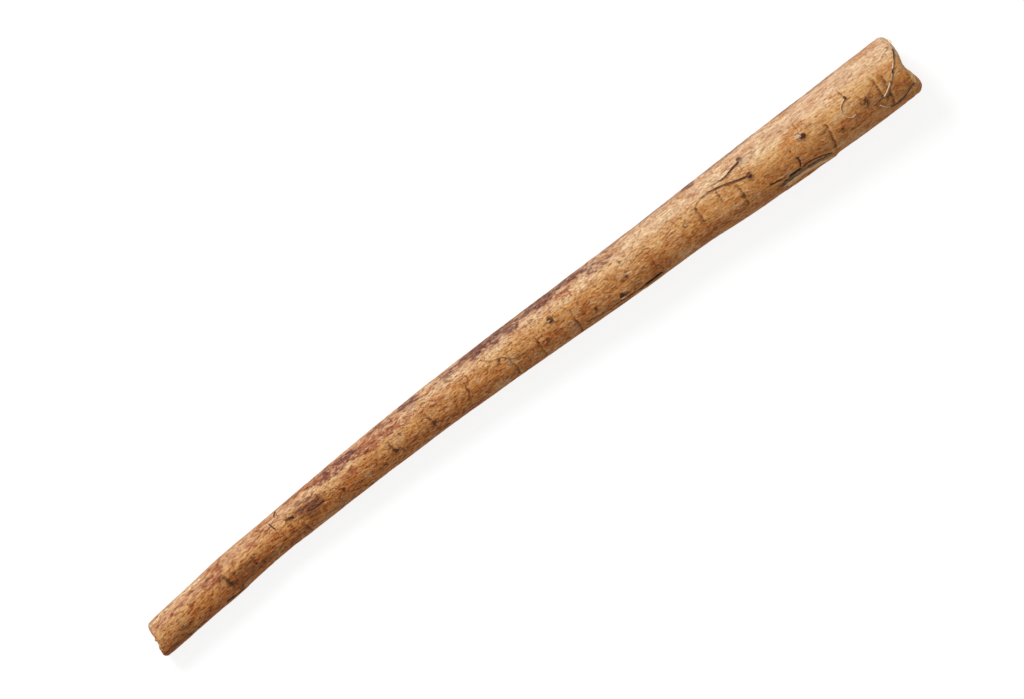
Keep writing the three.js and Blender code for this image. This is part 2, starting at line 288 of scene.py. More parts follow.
def gradient_noise(points, seed):
    """Smooth noise from about -1 to 1 at points of shape (..., 3)."""
    cell = np.floor(points).astype(np.int64)
    within = points - cell
    fade = within**3 * (within * (within * 6 - 15) + 10)
    total = np.zeros(points.shape[:-1])
    for corner in itertools.product((0, 1), repeat=3):
        place = cell + corner
        code = np.bitwise_xor.reduce(place * HASH_STEPS, axis=-1)
        code = (code ^ seed * HASH_MIXERS[0]) * HASH_MIXERS[1]
        code = (code ^ code >> 15) * HASH_MIXERS[2]
        slopes = np.stack([(code >> shift & 255) / 127.5 - 1 for shift in (8, 17, 26)], -1)
        weight = np.prod(np.where(corner, fade, 1 - fade), axis=-1)
        total += weight * np.sum(slopes * (within - corner), axis=-1)
    return total


def layered_noise(points, stretch, seed, octaves=3):
    """Noise whose features are about stretch millimetres in size: a number or (x, y, z)."""
    scaled = points / np.array(stretch)
    total = 0.0
    for octave in range(octaves):
        total = total + gradient_noise(scaled * 2**octave, seed + octave) / 2**octave
    return total


def soft_step(low, high, value):
    """0 below low and 1 above high, with a smooth rise between them."""
    share = np.clip((value - low) / (high - low), 0, 1)
    return share * share * (3 - 2 * share)


def bell(distance, width):
    """1 at no distance, about 0.37 at one width and next to nothing at two."""
    return np.exp(-((distance / width) ** 2))


# ---- The solid under the skin ----

# A whole ring of the solid has at least FULL_RING corners. Rays at the cut faces start OUTSIDE and
# keep OFF_FLOOR. The middle line is read at NEAR_ENDS for the cuts, and marks past LAST_ROUND or
# SIDE_EDGE, the share of the radius, are placed as if they were there.
FULL_RING = 30
OUTSIDE = 400.0
OFF_FLOOR = 0.4
NEAR_ENDS = 160
LAST_ROUND = 167.0
SIDE_EDGE = 0.98


class Solid:
    """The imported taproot, read as a middle line with a radius all round it."""

    def __init__(self, node):
        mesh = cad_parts[node].data
        corners = np.array([v.co for v in mesh.vertices]) / MM
        faces = [tuple(p.vertices) for p in mesh.polygons]
        self.tree = BVHTree.FromPolygons([tuple(c) for c in corners], faces)
        self.rings = np.array(list(self.find_rings(corners)))

    @staticmethod
    def find_rings(corners):
        """(x, y, z) of the middle of each ring of the solid, from its widest points."""
        places = np.round(corners[:, 0], 2)
        for x in np.unique(places):
            ring = np.unique(np.round(corners[places == x, 1:], 2), axis=0)
            if len(ring) < FULL_RING:
                continue
            radius = np.ptp(ring[:, 0]) / 2
            yield x, np.mean((ring[:, 0].min(), ring[:, 0].max())), ring[:, 1].max() - radius

    def middle(self, x):
        """y and z of the middle line, carried on straight past its ends."""
        rings = self.rings
        out = []
        for axis in (1, 2):
            value = np.interp(x, rings[:, 0], rings[:, axis])
            for near, far in ((0, 4), (-1, -5)):
                slope = (rings[near, axis] - rings[far, axis]) / (rings[near, 0] - rings[far, 0])
                past = np.minimum(x - rings[0, 0], 0) if near == 0 else np.maximum(x - rings[-1, 0], 0)
                value = value + slope * past
            out.append(value)
        return out

    def reach(self, x, angle):
        """How far the solid reaches from its middle line at x, at this angle from +Y to +Z."""
        y, z = self.middle(x)
        start = Vector((x, float(y), float(z)))
        hit = self.tree.ray_cast(start, Vector((0, math.cos(angle), math.sin(angle))))
        return hit[3] if hit[3] is not None else 0.0

    def face(self, y, z, outward):
        """x of the cut face at [y, z]; outward is +1 at the crown and -1 at the thin end."""
        start = Vector((outward * OUTSIDE, float(y), float(z)))
        hit = self.tree.ray_cast(start, Vector((-outward, 0, 0)))
        return hit[0].x


def smoothed(grid, sigma_rows, sigma_columns):
    """The grid blurred along its rows (its ends held) and around its columns."""
    out = grid
    for axis, sigma in ((0, sigma_rows), (1, sigma_columns)):
        reach = int(3 * sigma)
        steps = np.arange(-reach, reach + 1)
        weights = np.exp(-0.5 * (steps / sigma) ** 2)
        weights /= weights.sum()
        pad = [(0, 0), (0, 0)]
        pad[axis] = (reach, reach)
        padded = np.pad(out, pad, mode="edge" if axis == 0 else "wrap")
        count = out.shape[axis]
        out = sum(w * np.take(padded, np.arange(i, i + count), axis) for i, w in enumerate(weights))
    return out


solid = Solid("taproot")
TOP = math.pi / 2
EVEN_TURNS = np.arange(COLUMNS) * 2 * math.pi / COLUMNS
ANGLES = EVEN_TURNS + TOP_CROWDING * np.cos(EVEN_TURNS)


def cut_end(outward, rim, skin_x):
    """The rows of one cut end, from the skin over its rim to near the face's middle.

    Gives each row's x, its distance from the middle line, and its share of the face's radius.
    """
    reach = np.array([solid.reach(skin_x, angle) for angle in ANGLES])
    reach = smoothed(reach[None, :].repeat(3, 0), 0.5, 2.0)[1]
    y, z = solid.middle(skin_x)
    rows = []
    turns = np.linspace(0, math.pi / 2, RIM_ROWS)
    shares = [(1 - math.cos(turn), 1 - math.sin(turn), 1.0) for turn in turns]
    shares += [(1.0, 0.0, share) for share in np.linspace(1, 0.03, FACE_ROWS + 1)[1:]]
    for inset, back, share in shares:
        distance = (reach - rim * inset) * share
        flat = np.minimum(distance, reach - rim * 1.05)
        face = [
            solid.face(y + d * math.cos(a), max(z + d * math.sin(a), OFF_FLOOR), outward)
            for d, a in zip(flat, ANGLES)
        ]
        rows.append((np.array(face) - outward * rim * back, distance, distance / reach))
    return rows, (solid.face(y, z, outward), y, z)


def skin_rows():
    """Grids of x, distance from the middle line and share of the radius, end to end."""
    thin_skin = solid.face(*solid.middle(-NEAR_ENDS), -1) + THIN_RIM
    crown_skin = solid.face(*solid.middle(NEAR_ENDS), 1) - CROWN_RIM
    thin, thin_middle = cut_end(-1, THIN_RIM, thin_skin)
    crown, crown_middle = cut_end(1, CROWN_RIM, crown_skin)
    body_x = np.linspace(thin_skin, crown_skin, BODY_ROWS + 2)[1:-1]
    reach = np.array([[solid.reach(x, angle) for angle in ANGLES] for x in body_x])
    x_grid = body_x[:, None].repeat(COLUMNS, 1)
    for row in range(BLEND_ROWS):
        hold = 1 - soft_step(0, BLEND_ROWS, row)
        x_grid[row] += hold * (thin[0][0] - thin_skin)
        x_grid[-1 - row] += hold * (crown[0][0] - crown_skin)
    grids = zip(zip(*thin[::-1]), (x_grid, reach, np.ones_like(reach)), zip(*crown))
    x, distance, share = (np.concatenate(parts) for parts in grids)
    body = slice(len(thin), len(thin) + BODY_ROWS)
    distance[body] = smoothed(distance, 3.0, 1.6)[body]
    shift_ends(x, distance, share)
    return x, distance, share, (thin_middle, crown_middle)


def shift_ends(x, distance, share):
    """The ragged edge of each end, fading out along the body, into the face and underneath."""
    y = solid.middle(x)[0] + distance * np.cos(ANGLES)[None, :]
    ends = RIM_ROWS + FACE_ROWS
    near_rim = soft_step(0.5, 0.95, share) * soft_step(-0.4, 0.2, np.sin(ANGLES))[None, :]
    for edge, rows in ((THIN_EDGE, slice(None)), (CROWN_EDGE, slice(None, None, -1))):
        offset = np.interp(y[rows], *zip(*edge))
        count = np.arange(len(x))[:, None]
        hold = 1 - soft_step(ends, ends + BLEND_ROWS, count)
        x[rows] += offset * hold * near_rim[rows]


# ---- Marks in the skin ----


class Skin:
    """Every point of the skin as x, distance and angle, with its relief and its paint."""

    def __init__(self):
        self.x, self.distance, self.share, self.middles = skin_rows()
        self.angle = ANGLES[None, :].repeat(len(self.x), 0)
        self.on_skin = soft_step(0.80, 0.97, self.share)
        rest_y = self.distance * np.cos(self.angle)
        rest_z = self.distance * np.sin(self.angle)
        self.rest = np.stack([self.x, rest_y, rest_z], -1)
        round_top = (TOP - self.angle + math.pi) % (2 * math.pi) - math.pi
        self.across = round_top * self.distance
        self.relief = np.zeros_like(self.x)
        # The side paint: painted light and shade round the root, pale towards the lit +Y flank and
        # orange on the shaded near flank.
        self.paint = {"side": self.painted_light_and_shade()}

    def painted_light_and_shade(self):
        """0 to 1: how pale the skin is painted as light and shade, most on the upper flank towards +Y,
        where the light falls.
        """
        upper = soft_step(-0.55, 0.70, np.cos(self.angle))
        above = soft_step(-0.6, 0.1, np.sin(self.angle))
        return upper * above + 0.4 * (1 - above)

    def place(self, x, y):
        """[x, y] seen from above as x and the distance across the skin from its top line.

        A y past the edge carries on round the side.
        """
        radius = solid.reach(max(-LAST_ROUND, min(LAST_ROUND, x)), TOP)
        side = (y - float(solid.middle(x)[0])) / radius
        seen = max(-SIDE_EDGE, min(SIDE_EDGE, side))
        return x, radius * (math.asin(seen) + side - seen)

    def add_paint(self, name, amount):
        before = self.paint.get(name, np.zeros_like(self.x))
        self.paint[name] = np.maximum(before, amount)

    def path(self, points):
        """The places of several [x, y]."""
        return [self.place(x, y) for x, y in points]

    def line_distance(self, line, wander):
        """How far each point of the skin is from a line of (x, across) points."""
        x = self.x + wander
        across = self.across + wander
        best = np.full_like(x, 1e9)
        for (x0, a0), (x1, a1) in zip(line, line[1:]):
            dx, da = x1 - x0, a1 - a0
            share = ((x - x0) * dx + (across - a0) * da) / (dx * dx + da * da)
            share = np.clip(share, 0, 1)
            best = np.minimum(best, np.hypot(x - x0 - share * dx, across - a0 - share * da))
        return best

    def crack(self, line, depth, width, dark, wander):
        """A crack along a line, with its edges pushed up a little."""
        away = self.line_distance(line, wander)
        self.relief -= depth * bell(away, width) * self.on_skin
        raised = bell(away - 2.2 * width, 1.2 * width)
        self.relief += 0.25 * depth * raised * self.on_skin
        self.add_paint("crack", dark * bell(away, 1.15 * width))

    def scar(self, line, depth, width, dark, wander):
        """A scar across the root: a dark line with brown painted shade spread on its thin side, and a
        raised lip on its crown side painted pale as a highlight.
        """
        away = self.line_distance(line, wander)
        places = sorted((across, x) for x, across in line)
        line_x = np.interp(self.across, [p[0] for p in places], [p[1] for p in places])
        crown_side = soft_step(-0.15, 0.15, self.x + wander - line_x)
        reach = width * (2.6 - 1.9 * crown_side)
        self.relief -= depth * bell(away, 0.8 * reach) * self.on_skin
        lip = bell(away - 1.6 * width, 0.7 * width) * crown_side
        self.relief += 0.5 * depth * lip * self.on_skin
        self.add_paint("scar", dark * bell(away, 0.75 * width))
        # Painted shade: soft brown spread from the groove, wider on its thin side.
        self.add_paint("scar", 0.5 * dark * bell(away, reach))
        # Painted highlight on the raised lip.
        self.add_paint("lip", 0.8 * dark * lip)

    def knot(self, place, height, radius, sunk):
        """A dark mound with an uneven outline, sunk in its middle."""
        x, across = place
        wobble = 0.35 * radius * layered_noise(self.rest, (1.1, 0.9, 0.9), SEED + 40, 2)
        away = np.hypot(self.x - x, self.across - across) + wobble
        mound = bell(away, radius)
        pit = bell(away, 0.45 * radius)
        self.relief += (height * mound - sunk * pit) * self.on_skin
        self.add_paint("knot", (1 - soft_step(0.4, 1.3, away / radius)) * min(1, 0.5 + 1.2 * height))
        self.add_paint("crack", 0.6 * pit * min(1, 2.2 * sunk))

    def ring_knot(self, place, radius):
        """A dark ring pressed in round a middle that stands up."""
        away = np.hypot(self.x - place[0], self.across - place[1])
        away = away + 0.16 * layered_noise(self.rest, 1.0, SEED + 41, 2)
        ring = bell(away - radius, RING_WIDTH)
        self.relief += RING_DEPTH * (bell(away, 0.6 * radius) - ring) * self.on_skin
        self.add_paint("crack", 0.62 * ring)

    def patch(self, name, place, half_length, half_width, strength, ragged=0.55):
        """A soft oval of paint with a ragged edge."""
        x, across = place
        away = np.hypot((self.x - x) / half_length, (self.across - across) / half_width)
        self.add_paint(name, strength * (1 - soft_step(0.55, 1.35, away + ragged * self.rag)))


def hidden_scars(generator):
    """Scars and knots low on the sides and underneath, made up in the manner of the seen ones.

    Gives each scar's x, its turn round from the top, its span and its depth, and each knot's
    x, turn and radius.
    """
    scars, knots = [], []
    for _ in range(HIDDEN_SCARS):
        turn = generator.uniform(0.60, 0.82) * math.pi
        span = generator.uniform(0.15, 0.45)
        side = generator.choice((-1, 1))
        x = generator.uniform(-160, 160)
        scars.append((x, side * turn, side * span, generator.uniform(0.15, 0.35)))
    for _ in range(HIDDEN_KNOTS):
        turn = generator.uniform(0.60, 0.95) * math.pi * generator.choice((-1, 1))
        knots.append((generator.uniform(-162, 164), turn, generator.uniform(0.7, 1.3)))
    return scars, knots


def sculpt(skin):
    """All relief and paint of the skin."""
    rest = skin.rest
    skin.rag = layered_noise(rest, (4.5, 1.5, 1.5), SEED + 1, 3)
    wander = 0.35 * layered_noise(rest, 2.0, SEED + 2, 2)
    lumps = layered_noise(rest, (26, 9, 9), SEED + 3, 2)
    ridges = layered_noise(rest, (11, 2.0, 2.0), SEED + 4, 2)
    wavy = rest + 0.5 * layered_noise(rest, 2.2, SEED + 9, 1)[..., None]
    furrows = np.abs(layered_noise(wavy, (4.6, 1.2, 1.2), SEED + 5, 2))
    furrows = 1 - soft_step(0.0, 0.30, furrows)
    where = soft_step(-0.25, 0.35, layered_noise(rest, (9, 4, 4), SEED + 8, 2))
    furrows *= 0.35 + 0.65 * where
    skin.relief += SWELL + (LUMPS * lumps + RIDGES * ridges - WRINKLES * furrows) * skin.on_skin
    # The grooves are painted darker: partly the skin's brown wrinkle lines, partly painted shade in
    # them.
    skin.add_paint("furrow", furrows)

    for points, depth, width, dark in SCARS:
        skin.scar(skin.path(points), depth, SCAR_NARROWING * width, dark, SCAR_STRAY * wander)
    for points, depth, width, dark in CRACKS:
        skin.crack(skin.path(points), depth, width, dark, CRACK_STRAY * wander)
    for x, y, *sizes in KNOTS:
        skin.knot(skin.place(x, y), *sizes)
    for x, y, radius in RING_KNOTS:
        skin.ring_knot(skin.place(x, y), radius)
    scars, knots = hidden_scars(np.random.default_rng(SEED))
    for x, turn, span, depth in scars:
        radius = solid.reach(x, TOP)
        line = [(x, turn * radius), (x + 0.6, (turn + span / 2) * radius)]
        line.append((x - 0.3, (turn + span) * radius))
        skin.scar(line, depth, 0.35, 0.7, wander)
    for x, turn, radius in knots:
        skin.knot((x, turn * solid.reach(x, TOP)), 0.3 * radius, radius, 0.25)

    for name, patches in PATCHES.items():
        for x, y, *sizes, strength in patches:
            skin.patch(name, skin.place(x, y), *sizes, strength)
    for x, y, *sizes in CHIPS:
        skin.patch("chip", skin.place(x, y), *sizes, 1.0, CHIP_RAGGED)

    ledge = skin.line_distance(skin.path(LEDGE), LEDGE_STRAY * wander)
    skin.relief += LEDGE_HEIGHT * bell(ledge, LEDGE_WIDTH)
    for name, points, half_width in STRIPS:
        away = skin.line_distance(skin.path(points), STRIP_STRAY * wander)
        skin.add_paint(name, 1 - soft_step(0.7 * half_width, 1.2 * half_width, away))

    bend = layered_noise(rest, 3.0, SEED + 10, 2)
    skin.add_paint("ray", 0.5 + 0.5 * np.sin(FACE_RAYS * skin.angle + 3.0 * bend))
    face_grain = layered_noise(rest, 1.2, SEED + 6, 3)
    skin.relief += FACE_GRAIN * face_grain * (1 - skin.on_skin)
    ragged = skin.share + 0.035 * layered_noise(rest, 1.5, SEED + 7, 2)
    skin.add_paint("flesh", 1 - soft_step(0.80, 0.86, ragged))


# ---- Meshes ----


def grid_normals(points):
    """Outward normals of a grid of points that closes on itself around its columns."""
    along = np.gradient(points, axis=0)
    around = np.roll(points, -1, 1) - np.roll(points, 1, 1)
    normals = np.cross(around, along)
    return normals / np.maximum(np.linalg.norm(normals, axis=-1, keepdims=True), 1e-9)


def mesh_object(name, points, faces, material, smooth=True):
    mesh = bpy.data.meshes.new(name)
    mesh.from_pydata((np.asarray(points) * MM).tolist(), [], faces)
    mesh.materials.append(material)
    mesh.polygons.foreach_set("use_smooth", [smooth] * len(mesh.polygons))
    piece = bpy.data.objects.new(name, mesh)
    scene.collection.objects.link(piece)
    return piece


def grid_faces(rows, columns):
    """Quads of a grid that closes around its columns, and a fan to a middle at each end."""
    faces = []
    for row in range(rows - 1):
        here, there = row * columns, (row + 1) * columns
        for column in range(columns):
            after = (column + 1) % columns
            faces.append((here + column, here + after, there + after, there + column))
    first, last = rows * columns, rows * columns + 1
    end = (rows - 1) * columns
    for column in range(columns):
        after = (column + 1) % columns
        faces.append((first, after, column))
        faces.append((last, end + column, end + after))
    return faces


def build_skin(material):
    skin = Skin()
    sculpt(skin)
    y, z = solid.middle(skin.x)
    y = y + skin.distance * np.cos(skin.angle)
    z = z + skin.distance * np.sin(skin.angle)
    points = np.stack([skin.x, y, z], -1)
    points = points + grid_normals(points) * skin.relief[..., None]
    points[..., 2] = np.maximum(points[..., 2], 0)
    rows, columns = skin.x.shape
    middles = np.array([[m[0], float(m[1]), float(m[2])] for m in skin.middles])
    piece = mesh_object(
        "root_skin",
        np.concatenate([points.reshape(-1, 3), middles]),
        grid_faces(rows, columns),
        material,
    )
    straight = np.concatenate([skin.rest.reshape(-1, 3), [[m[0], 0, 0] for m in skin.middles]])
    attribute = piece.data.attributes.new("rest", "FLOAT_VECTOR", "POINT")
    attribute.data.foreach_set("vector", straight.astype(np.float32).ravel())
    skin.paint["share"] = skin.share
    for name, amount in skin.paint.items():
        last = {"flesh": 1.0}.get(name, 0.0)
        values = np.append(np.clip(amount, 0, 1).ravel(), [last, last])
        attribute = piece.data.attributes.new(name, "FLOAT", "POINT")
        attribute.data.foreach_set("value", values.astype(np.float32))
    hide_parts("taproot")
    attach(piece, "root")
    return piece


# ---- Materials ----


def srgb(red, green, blue):
    """A colour given as 0 to 255, as Blender's linear numbers."""
    shares = [c / 255 for c in (red, green, blue)]
    return [c / 12.92 if c < 0.04045 else ((c + 0.055) / 1.055) ** 2.4 for c in shares] + [1.0]


# Painted shade: the orange of the near flank, away from the light.
PAINTED_SHADE_ORANGE = srgb(224, 147, 68)
GOLD = srgb(233, 174, 102)
# Painted light: the cream of the upper flank towards the light.
PAINTED_LIGHT_CREAM = srgb(243, 202, 153)
PALE = srgb(251, 223, 177)
CHIP = srgb(236, 204, 160)
# Painted sheen: lilac on the brightest part of that flank.
PAINTED_SHEEN_LILAC = srgb(214, 178, 160)
MOTTLE_TINT = srgb(229, 200, 168)
GRAIN_TINT = srgb(195, 156, 112)
CREASE_TINT = srgb(164, 104, 54)
THIN_TINT = srgb(243, 230, 218)
RUST = srgb(172, 96, 64)
PLUM = srgb(124, 74, 66)
UMBER = srgb(128, 82, 46)
SCAR = srgb(110, 60, 28)
KNOT = srgb(84, 42, 28)
CRACK = srgb(42, 24, 18)
ASH = srgb(206, 190, 176)
FLESH = srgb(255, 206, 146)
FLESH_DARK = srgb(204, 140, 86)
GREY = srgb(134, 108, 78)


class Shader:
    """Builds one material's nodes, with a short call for each kind of node."""

    def __init__(self, name, roughness, specular):
        self.material = bpy.data.materials.new(name)
        self.material.use_nodes = True
        self.tree = self.material.node_tree
        self.surface = self.tree.nodes["Principled BSDF"]
        self.surface.inputs["Roughness"].default_value = roughness
        self.surface.inputs["Specular IOR Level"].default_value = specular

    def node(self, kind, inputs=(), **settings):
        made = self.tree.nodes.new(kind)
        for key, value in settings.items():
            setattr(made, key, value)
        for name, value in dict(inputs).items():
            self.feed(made.inputs[name], value)
        return made

    def feed(self, socket, value):
        """Gives a socket a plain value, or links another node's output to it."""
        if isinstance(value, bpy.types.NodeSocket):
            self.tree.links.new(value, socket)
        else:
            socket.default_value = value

    def attribute(self, name, output="Fac"):
        return self.node("ShaderNodeAttribute", attribute_name=name).outputs[output]

    def stretched(self, vector, scale):
        inputs = {"Vector": vector, "Scale": scale}
        return self.node("ShaderNodeMapping", inputs).outputs["Vector"]

    def wavering(self, vector, scale, reach):
        """The vector led astray by up to about reach / 2, in waves of about 1 / scale."""
        inputs = {"Vector": vector, "Scale": scale, "Detail": 3.0}
        astray = self.node("ShaderNodeTexNoise", inputs).outputs["Color"]
        inputs = {0: astray, 1: (0.5, 0.5, 0.5)}
        astray = self.node("ShaderNodeVectorMath", inputs, operation="SUBTRACT").outputs["Vector"]
        inputs = {0: astray, 1: (reach, reach, reach), 2: vector}
        made = self.node("ShaderNodeVectorMath", inputs, operation="MULTIPLY_ADD")
        return made.outputs["Vector"]

    def noise(self, vector, scale, detail, roughness):
        inputs = {"Vector": vector, "Scale": scale, "Detail": detail, "Roughness": roughness}
        return self.node("ShaderNodeTexNoise", inputs).outputs["Fac"]

    def math(self, operation, first, second=0.0):
        made = self.node("ShaderNodeMath", {0: first, 1: second}, operation=operation)
        return made.outputs["Value"]

    def times(self, first, second):
        return self.math("MULTIPLY", first, second)

    def span(self, value, low, high, to_low=0.0, to_high=1.0):
        """value carried from low..high to to_low..to_high, smoothly and held at the ends."""
        names = ("Value", "From Min", "From Max", "To Min", "To Max")
        inputs = zip(names, (value, low, high, to_low, to_high))
        made = self.node("ShaderNodeMapRange", inputs, interpolation_type="SMOOTHSTEP")
        return made.outputs["Result"]

    def mix(self, share, first, second, blend="MIX"):
        made = self.node("ShaderNodeMix", data_type="RGBA", blend_type=blend)
        for name, value in (("Factor_Float", share), ("A_Color", first), ("B_Color", second)):
            self.feed(next(s for s in made.inputs if s.identifier == name), value)
        return next(s for s in made.outputs if s.identifier == "Result_Color")

    def finish(self, colour, height, distance, roughness=None):
        self.tree.links.new(colour, self.surface.inputs["Base Color"])
        if roughness is not None:
            self.tree.links.new(roughness, self.surface.inputs["Roughness"])
        bump = self.node("ShaderNodeBump", {"Height": height, "Distance": distance * MM})
        self.tree.links.new(bump.outputs["Normal"], self.surface.inputs["Normal"])
        return self.material


# Paint under and over the skin's grain, from first to last: its name and colour, how far the
# streaks break it up, and the most that it covers.
PAINT_UNDER = [
    ("cream", PALE, 0.8, 0.8),
    ("rust", RUST, 0.7, 0.8),
    ("umber", UMBER, 0.6, 0.65),
    ("plum", PLUM, 0.55, 0.9),
]
PAINT_OVER = [
    # lip: a painted highlight on the raised lips of scars; the lip strips take the same paint.
    ("lip", GOLD, 0.5, 0.5),
    ("scar", SCAR, 0.4, 0.85),
    ("knot", KNOT, 0.35, 0.95),
    ("grey", GREY, 0.5, 0.9),
    ("crack", CRACK, 0.1, 1.0),
]

# The height of the finest relief, and how wide the ring on a cut face is as a share of its radius.
SKIN_BUMP = 0.2
RING_REACH = 0.035


class SkinShader(Shader):
    """The skin and flesh, from the paint on the mesh and from noise drawn out along the root."""

    def __init__(self):
        super().__init__("root skin", 0.55, 0.2)
        rest = self.attribute("rest", "Vector")
        # side: painted light and shade round the root.
        self.side = self.attribute("side")
        self.length = self.node("ShaderNodeSeparateXYZ", {"Vector": rest}).outputs["X"]
        self.patchy = self.stretched(rest, (0.45, 1.0, 1.0))
        wavy = self.wavering(rest, 0.75, 0.9)
        self.streaked = self.stretched(wavy, (0.26, 1.0, 1.0))
        self.mottle = self.noise(self.patchy, 0.22, 4, 0.6)
        self.flecks = self.noise(self.patchy, 0.9, 4, 0.65)
        self.fibres = self.noise(self.streaked, 1.1, 4, 0.6)
        self.fine_fibres = self.noise(self.streaked, 2.3, 3, 0.55)
        streaks = self.math("ADD", self.fibres, self.times(self.flecks, 0.8))
        self.streaks = self.span(streaks, 0.72, 1.02)
        wide_lines = self.wrinkles(0.6, 20.0, 0.36)
        close_lines = self.wrinkles(1.0, 22.0, 0.32)
        wide_creases = self.span(wide_lines, 0.55, 1.0)
        close_creases = self.span(close_lines, 0.55, 1.0, 0.0, 0.8)
        self.creases = self.math("MAXIMUM", wide_creases, close_creases)
        self.crests = self.span(self.math("MINIMUM", wide_lines, close_lines), -0.4, -0.95)
        self.calm = self.span(self.length, 175.0, 40.0, 0.6, 1.0)

    def wrinkles(self, scale, closeness, keep):
        """Thin wavy lines that run along the root and come and go: -1 to 1, dark at 1."""
        bands = self.noise(self.streaked, scale, 1, 0.5)
        waves = self.math("SINE", self.times(bands, closeness))
        return self.times(waves, self.span(self.flecks, keep, keep + 0.2))

    def laid(self, paints, below):
        """Each paint in turn over what is below it, patchy where the streaks are faint."""
        for name, colour, ragged, most in paints:
            kept = self.span(self.streaks, 0.0, 1.0, 1.0 - ragged, 1.0 + 0.5 * ragged)
            share = self.times(self.attribute(name), kept)
            below = self.mix(self.span(share, 0.12, 0.85, 0.0, most), below, colour)
        return below

    def ground(self):
        """Orange low on the near flank as painted shade, gold above it, and cream towards the lit +Y
        flank as painted light, with a lilac painted sheen on its brightest part.
        """
        ground = self.mix(self.span(self.side, 0.0, 0.5), PAINTED_SHADE_ORANGE, GOLD)
        ground = self.mix(self.span(self.side, 0.45, 1.0), ground, PAINTED_LIGHT_CREAM)
        ground = self.mix(self.span(self.side, 0.86, 1.0, 0.0, 0.45), ground, PAINTED_SHEEN_LILAC)
        ground = self.mix(self.span(self.mottle, 0.50, 0.34), ground, MOTTLE_TINT, "MULTIPLY")
        ground = self.mix(self.span(self.mottle, 0.52, 0.68, 0.0, 0.4), ground, PALE)
        ground = self.mix(self.span(self.fine_fibres, 0.54, 0.68, 0.0, 0.3), ground, PALE)
        # A painted highlight on the crests between the wrinkles.
        ground = self.mix(self.times(self.crests, 0.3), ground, PALE)
        thin_half = self.span(self.length, 60.0, -150.0)
        return self.mix(thin_half, ground, THIN_TINT, "MULTIPLY")

    def ashen(self, below):
        """Pale specks on the plum paint, only on the upper flank where the most light is painted."""
        ash = self.times(self.attribute("plum"), self.span(self.flecks, 0.60, 0.68))
        ash = self.times(ash, self.span(self.side, 0.80, 0.95, 0.0, 0.7))
        return self.mix(ash, below, ASH)

    def grained(self, below):
        """Grain over the patches, and the creases and furrows darkened, partly as brown lines in the
        skin and partly as painted shade; calmer and fainter towards the crown.
        """
        broad = self.times(self.span(self.fibres, 0.50, 0.34, 0.0, 0.4), self.calm)
        below = self.mix(broad, below, GRAIN_TINT, "MULTIPLY")
        fine = self.times(self.span(self.fine_fibres, 0.53, 0.36, 0.0, 0.75), self.calm)
        below = self.mix(fine, below, GRAIN_TINT, "MULTIPLY")
        furrows = self.times(self.attribute("furrow"), 0.3)
        below = self.mix(furrows, below, CREASE_TINT, "MULTIPLY")
        coarseness = self.span(self.length, 90.0, -10.0, 0.55, 0.85)
        creases = self.times(self.creases, coarseness)
        return self.mix(creases, below, CREASE_TINT, "MULTIPLY")

    def flesh(self):
        """The flesh's colour and grain: mottled, rayed and ringed on the cut faces."""
        share = self.attribute("share")
        on_face = self.span(share, 0.999, 0.97)
        grain = self.times(self.noise(self.patchy, 1.6, 5, 0.65), on_face)
        strip_grain = self.times(self.fine_fibres, self.span(on_face, 0.0, 1.0, 1.0, 0.0))
        grain = self.math("ADD", grain, strip_grain)
        flesh = self.mix(self.span(grain, 0.42, 0.66, 0.0, 0.7), FLESH, FLESH_DARK)
        rays = self.span(self.attribute("ray"), 0.55, 0.95, 0.0, 0.5)
        flesh = self.mix(self.times(rays, share), flesh, FLESH_DARK)
        ring = self.math("ABSOLUTE", self.math("SUBTRACT", share, GROWTH_RING))
        ring = self.times(self.span(ring, RING_REACH, 0.0, 0.0, 0.8), on_face)
        return self.mix(ring, flesh, FLESH_DARK), grain

    def relief(self, bare, flesh_grain):
        """Relief too fine for the mesh."""
        height = self.math("ADD", self.fibres, self.times(self.fine_fibres, 0.6))
        height = self.math("SUBTRACT", height, self.times(self.creases, 0.18))
        height = self.math("ADD", height, self.times(self.crests, 0.2))
        height = self.times(height, self.calm)
        height = self.times(height, self.span(bare, 0.0, 1.0, 1.0, 0.0))
        return self.math("ADD", height, self.times(flesh_grain, bare))


def skin_material():
    shader = SkinShader()
    skin = shader.ashen(shader.laid(PAINT_UNDER, shader.ground()))
    skin = shader.laid(PAINT_OVER, shader.grained(skin))
    flesh, flesh_grain = shader.flesh()
    bare = shader.span(shader.attribute("flesh"), 0.35, 0.6)
    colour = shader.mix(bare, skin, flesh)
    colour = shader.mix(shader.span(shader.attribute("chip"), 0.3, 0.6), colour, CHIP)
    height = shader.relief(bare, flesh_grain)
    roughness = shader.span(shader.flecks, 0.3, 0.7, 0.55, 0.72)
    return shader.finish(colour, height, SKIN_BUMP, roughness)


BARK = srgb(92, 58, 42)
DARK_BARK = srgb(66, 34, 22)
BLEACHED = srgb(238, 224, 202)
STRAW = srgb(214, 184, 142)
DULL = srgb(156, 116, 80)
TWIG = srgb(116, 72, 44)

